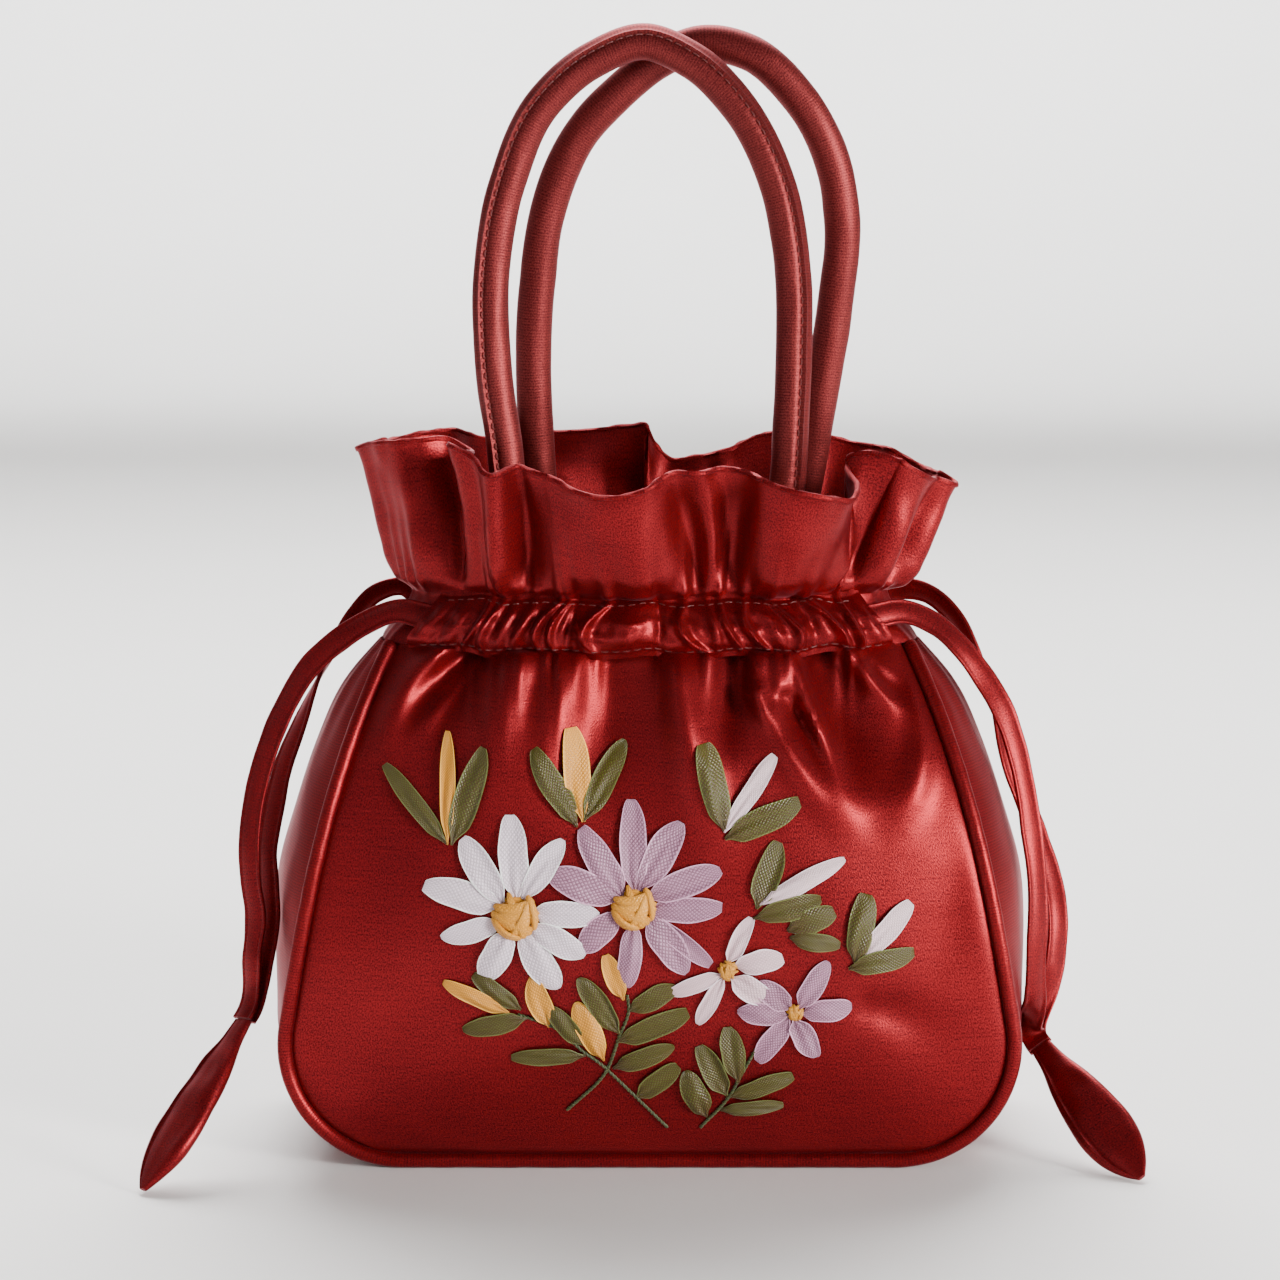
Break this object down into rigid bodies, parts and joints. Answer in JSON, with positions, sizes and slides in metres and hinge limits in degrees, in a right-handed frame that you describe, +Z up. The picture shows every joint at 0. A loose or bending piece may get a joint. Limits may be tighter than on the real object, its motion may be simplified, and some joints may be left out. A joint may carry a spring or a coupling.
{
  "type": "reticule, a satin drawstring handbag with ribbon embroidery",
  "caption": "Soft satin handbag with a gathered drawstring neck, a flared ruffle, padded loop handles, leaf-ended drawstrings and silk-ribbon daisies on the front.",
  "frame": {"origin": "centre of the flat underside that the bag stands on", "axes": "+Z up from the underside to the handles, +X to the right of the embroidered front, +Y to the back"},
  "size_m": [0.3044, 0.1278, 0.347],
  "materials": {
    "satin": "burgundy-red shot satin with a soft sheen",
    "handle_satin": "burgundy satin drawn over padding, with a stitched seam",
    "lilac_ribbon": "sheer lilac ribbon",
    "white_ribbon": "sheer lilac-white ribbon",
    "pink_ribbon": "sheer pale pink ribbon",
    "leaf_ribbon": "olive-green ribbon"
  },
  "bodies": {
    "root": {"front_panel": "satin", "back_panel": "satin", "side_gusset": "satin", "front_piping": "satin", "back_piping": "satin", "ruffle": "satin", "front_casing": "satin", "back_casing": "satin", "front_handle": "handle_satin", "back_handle": "handle_satin", "left_front_string": "satin", "left_back_string": "satin", "right_front_string": "satin", "right_back_string": "satin", "left_tab": "satin", "right_tab": "satin", "lilac_daisy": "lilac_ribbon", "white_daisy": "white_ribbon", "pink_blossom": "pink_ribbon", "lilac_blossom": "lilac_ribbon", "left_sprig": "leaf_ribbon", "middle_sprig": "leaf_ribbon", "upper_right_sprig": "leaf_ribbon", "right_sprig": "leaf_ribbon", "outer_right_sprig": "leaf_ribbon", "crossed_stems": "leaf_ribbon", "right_spray": "leaf_ribbon"}
  },
  "joints": []
}
